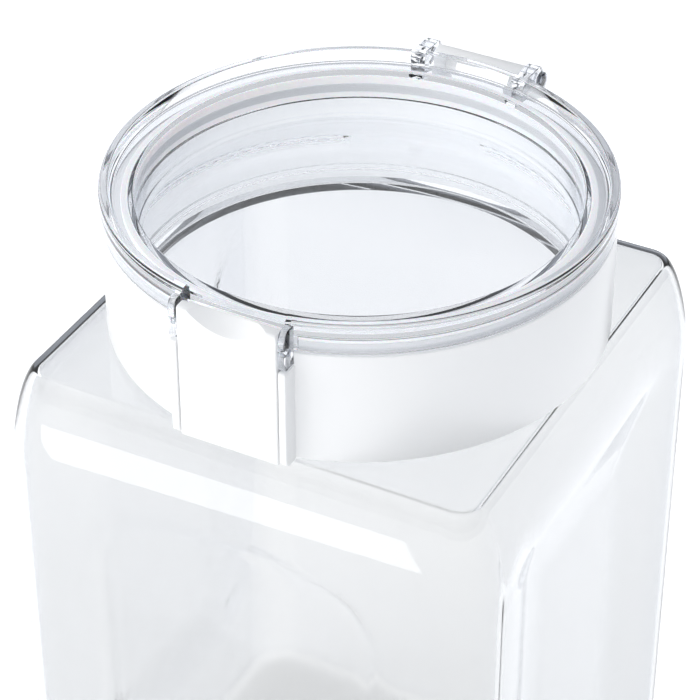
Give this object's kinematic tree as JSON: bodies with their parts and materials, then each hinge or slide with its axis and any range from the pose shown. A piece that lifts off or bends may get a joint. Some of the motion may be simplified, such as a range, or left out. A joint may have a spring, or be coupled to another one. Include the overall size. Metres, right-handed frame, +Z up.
{
  "type": "storage jar",
  "caption": "Square clear plastic jar with hand grips, a round screwed collar and a clear dished lid that flips up on a rear hinge and locks with a front flap.",
  "frame": {"origin": "centre of the flat base, on the axis of the round neck", "axes": "+Z up along the neck's axis; the latch faces -Y and the lid's hinge +Y; the hand grips are on the +X and -X sides"},
  "size_m": [0.1166, 0.1209, 0.205],
  "materials": {
    "clear_body": "clear, blow-moulded, glossy",
    "clear_lid": "clear, injection-moulded, polished",
    "white_plastic": "smooth white, soft gloss",
    "silicone": "translucent, matte",
    "clear_pin": "clear, moulded"
  },
  "bodies": {
    "jar": {"jar_body": "clear_body"},
    "seal_ring": {"neck_seal": "silicone"},
    "collar_ring": {"collar": "white_plastic"},
    "lid_assembly": {"lid": "clear_lid", "lid_seal": "silicone", "latch_pin": "clear_pin", "hinge_pin": "clear_pin"},
    "latch": {"latch_flap": "white_plastic"}
  },
  "joints": [
    {"name": "collar_lift", "type": "slide", "parent": "jar", "child": "seal_ring", "axis": [0, 0, 1], "range_m": [0, 0.0271]},
    {"name": "collar_turn", "type": "hinge", "parent": "seal_ring", "child": "collar_ring", "pos_m": [0, 0, 0.18], "axis": [0, 0, 1], "range_deg": [0, 810]},
    {"name": "lid_hinge", "type": "hinge", "parent": "collar_ring", "child": "lid_assembly", "pos_m": [0, 0.0595, 0.201], "axis": [-1, 0, 0], "range_deg": [0, 110]},
    {"name": "latch_hinge", "type": "hinge", "parent": "lid_assembly", "child": "latch", "pos_m": [0, -0.0551, 0.1985], "axis": [-1, 0, 0], "range_deg": [0, 50]}
  ],
  "couplings": [
    {"joint": "collar_lift", "follows": "collar_turn", "m_per_rad": 0.0019099}
  ]
}
